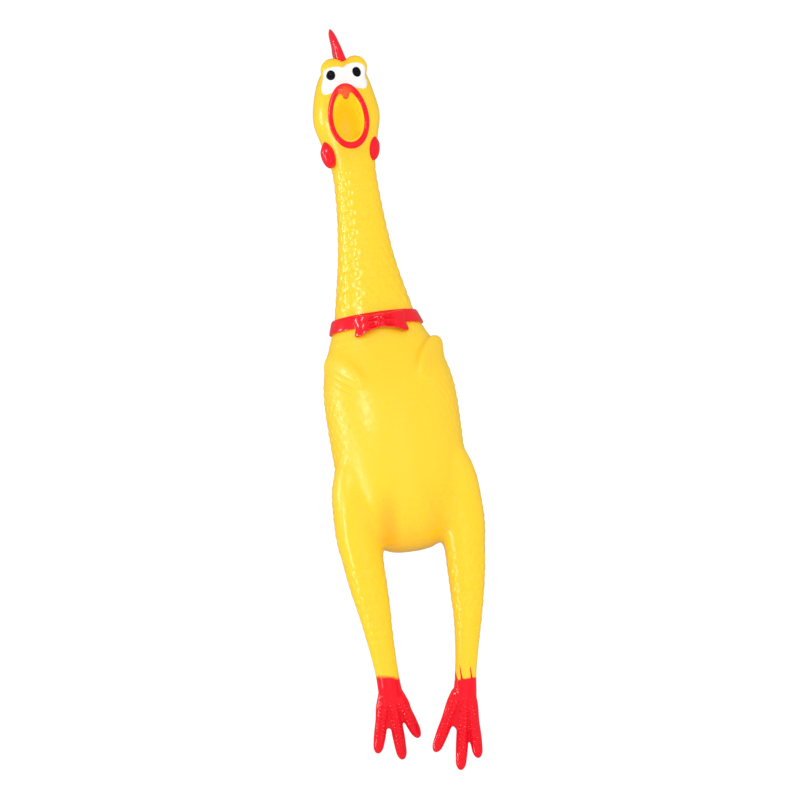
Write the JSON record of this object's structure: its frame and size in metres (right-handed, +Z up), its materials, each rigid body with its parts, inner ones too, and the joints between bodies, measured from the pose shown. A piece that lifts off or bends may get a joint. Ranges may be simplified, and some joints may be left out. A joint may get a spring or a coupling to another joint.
{
  "type": "rubber chicken",
  "caption": "Yellow hollow vinyl squeeze toy shaped like a plucked chicken, with flexing neck and legs, open red beak and an inner reed squeaker.",
  "frame": {"origin": "middle of the torso, where a hand grips it", "axes": "+Z up the neck, -Y the way the face looks, +X the chicken's own left"},
  "size_m": [0.08, 0.0722, 0.4],
  "materials": {
    "yellow_vinyl": "glossy pimpled vinyl",
    "red_vinyl": "glossy sprayed red over vinyl",
    "white_paint": "satin white paint over vinyl",
    "black_paint": "glossy black paint over vinyl",
    "squeaker_plastic": "moulded white plastic",
    "reed_film": "thin polyester film"
  },
  "bodies": {
    "torso": {"torso_skin": "yellow_vinyl", "collar": "red_vinyl", "bow_tie": "red_vinyl"},
    "belly": {"belly_panel": "yellow_vinyl"},
    "low_neck": {"neck_lower": "yellow_vinyl"},
    "high_neck": {"neck_upper": "yellow_vinyl"},
    "head": {"head_skin": "yellow_vinyl", "beak_rim": "red_vinyl", "eye_mask": "white_paint", "left_pupil": "black_paint", "right_pupil": "black_paint", "left_wattle": "red_vinyl", "right_wattle": "red_vinyl", "comb": "red_vinyl", "squeaker_housing": "squeaker_plastic", "tone_board": "squeaker_plastic", "reed_clamp": "squeaker_plastic"},
    "reed_tongue": {"reed": "reed_film"},
    "left_upper_leg": {"left_thigh": "yellow_vinyl"},
    "left_lower_leg": {"left_shin": "yellow_vinyl"},
    "left_claw": {"left_foot": "red_vinyl"},
    "right_upper_leg": {"right_thigh": "yellow_vinyl"},
    "right_lower_leg": {"right_shin": "yellow_vinyl"},
    "right_claw": {"right_foot": "red_vinyl"}
  },
  "joints": [
    {"name": "belly_press", "type": "slide", "parent": "torso", "child": "belly", "axis": [0, 1, 0], "range_m": [0, 0.006], "stiffness_N_per_m": 500},
    {"name": "neck_bend", "type": "hinge", "parent": "torso", "child": "low_neck", "pos_m": [-0.0015, 0.003, 0.086], "axis": [1, 0, 0], "range_deg": [-35, 35], "stiffness_Nm_per_rad": 1.2},
    {"name": "neck_sway", "type": "hinge", "parent": "low_neck", "child": "high_neck", "pos_m": [-0.0012, 0.0017, 0.11], "axis": [0, 1, 0], "range_deg": [-30, 30], "stiffness_Nm_per_rad": 0.9},
    {"name": "head_nod", "type": "hinge", "parent": "high_neck", "child": "head", "pos_m": [-0.0009, 0.0006, 0.133], "axis": [1, 0, 0], "range_deg": [-35, 35], "stiffness_Nm_per_rad": 0.7},
    {"name": "reed_flutter", "type": "hinge", "parent": "head", "child": "reed_tongue", "pos_m": [-0.001, -0.0007, 0.154], "axis": [-1, 0, 0], "range_deg": [-1, 3], "stiffness_Nm_per_rad": 0.0004},
    {"name": "left_hip", "type": "hinge", "parent": "torso", "child": "left_upper_leg", "pos_m": [0.0266, -0.0054, -0.072], "axis": [-1, 0, 0], "range_deg": [-50, 50], "stiffness_Nm_per_rad": 0.3},
    {"name": "left_knee", "type": "hinge", "parent": "left_upper_leg", "child": "left_lower_leg", "pos_m": [0.0238, -0.0035, -0.098], "axis": [-1, 0, 0], "range_deg": [-55, 55], "stiffness_Nm_per_rad": 0.2},
    {"name": "left_ankle", "type": "hinge", "parent": "left_lower_leg", "child": "left_claw", "pos_m": [0.0183, -0.0024, -0.127], "axis": [-1, 0, 0], "range_deg": [-35, 35], "stiffness_Nm_per_rad": 0.1},
    {"name": "right_hip", "type": "hinge", "parent": "torso", "child": "right_upper_leg", "pos_m": [-0.0266, -0.0054, -0.072], "axis": [-1, 0, 0], "range_deg": [-50, 50], "stiffness_Nm_per_rad": 0.3},
    {"name": "right_knee", "type": "hinge", "parent": "right_upper_leg", "child": "right_lower_leg", "pos_m": [-0.0244, -0.0012, -0.098], "axis": [-1, 0, 0], "range_deg": [-55, 55], "stiffness_Nm_per_rad": 0.2},
    {"name": "right_ankle", "type": "hinge", "parent": "right_lower_leg", "child": "right_claw", "pos_m": [-0.0226, 0.0052, -0.122], "axis": [-1, 0, 0], "range_deg": [-35, 35], "stiffness_Nm_per_rad": 0.1}
  ]
}
